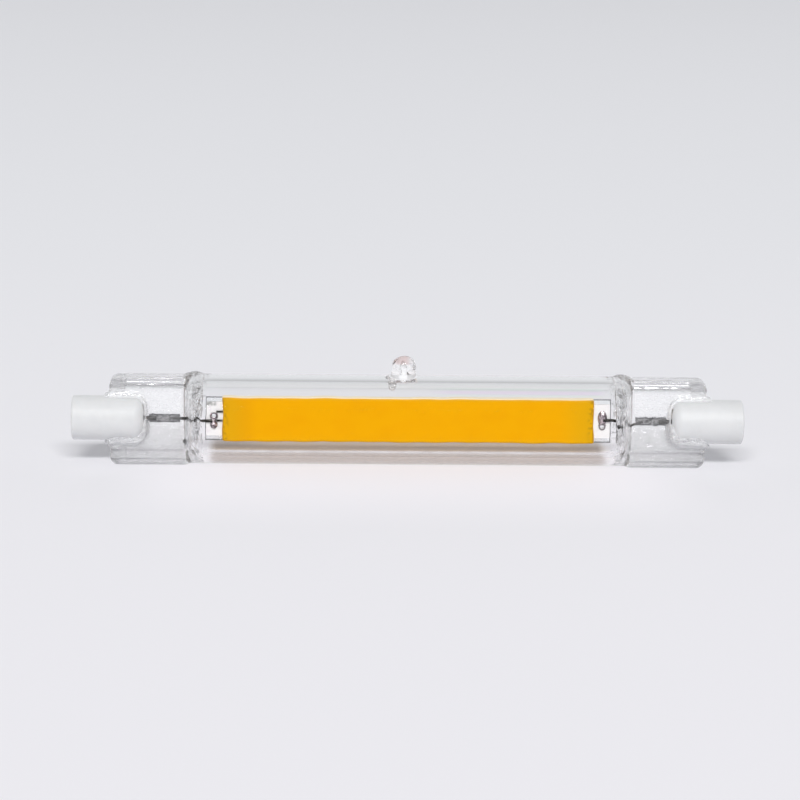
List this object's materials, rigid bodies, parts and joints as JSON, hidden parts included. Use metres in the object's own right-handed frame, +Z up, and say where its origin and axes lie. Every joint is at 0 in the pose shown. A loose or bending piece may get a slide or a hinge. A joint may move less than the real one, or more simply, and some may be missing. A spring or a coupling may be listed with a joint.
{
  "type": "double-ended led lamp",
  "caption": "Linear glass-tube lamp with a phosphor-coated light strip, flat pinched ends and ceramic end caps with recessed contacts.",
  "frame": {"origin": "on the surface that the lamp lies on, under the middle of its tube", "axes": "+X along the lamp, +Z up through the exhaust tip, the strip's soldered face towards -Y"},
  "size_m": [0.1176, 0.0158, 0.0194],
  "materials": {
    "clear_glass": "clear, fire polished",
    "cap_ceramic": "white, unglazed, smooth",
    "cap_cement": "off-white, rough",
    "contact_nickel": "nickel plated",
    "lead_wire": "dark drawn wire",
    "seal_foil": "thin grey foil",
    "strip_plate": "clear plate",
    "terminal_white": "white metallised",
    "solder": "bright solder",
    "track_silver": "thin printed conductor",
    "light_chip": "clear chip",
    "component_black": "moulded package",
    "phosphor": "yellow phosphor in silicone"
  },
  "bodies": {
    "root": {"glass_envelope": "clear_glass", "ceramic_cap_left": "cap_ceramic", "ceramic_cap_right": "cap_ceramic", "cap_cement_left": "cap_cement", "cap_cement_right": "cap_cement", "contact_left": "contact_nickel", "contact_right": "contact_nickel", "outer_lead_left": "lead_wire", "outer_lead_right": "lead_wire", "foil_left": "seal_foil", "foil_right": "seal_foil", "inner_lead_left": "lead_wire", "inner_lead_right": "lead_wire", "led_substrate": "strip_plate", "terminal_left": "terminal_white", "terminal_right": "terminal_white", "solder_joint_left": "solder", "solder_joint_right": "solder", "jumper_wires": "lead_wire", "printed_tracks": "track_silver", "led_chips_front": "light_chip", "led_chips_back": "light_chip", "rectifier_chip": "component_black", "driver_chip": "component_black", "phosphor_coat": "phosphor"}
  },
  "joints": []
}
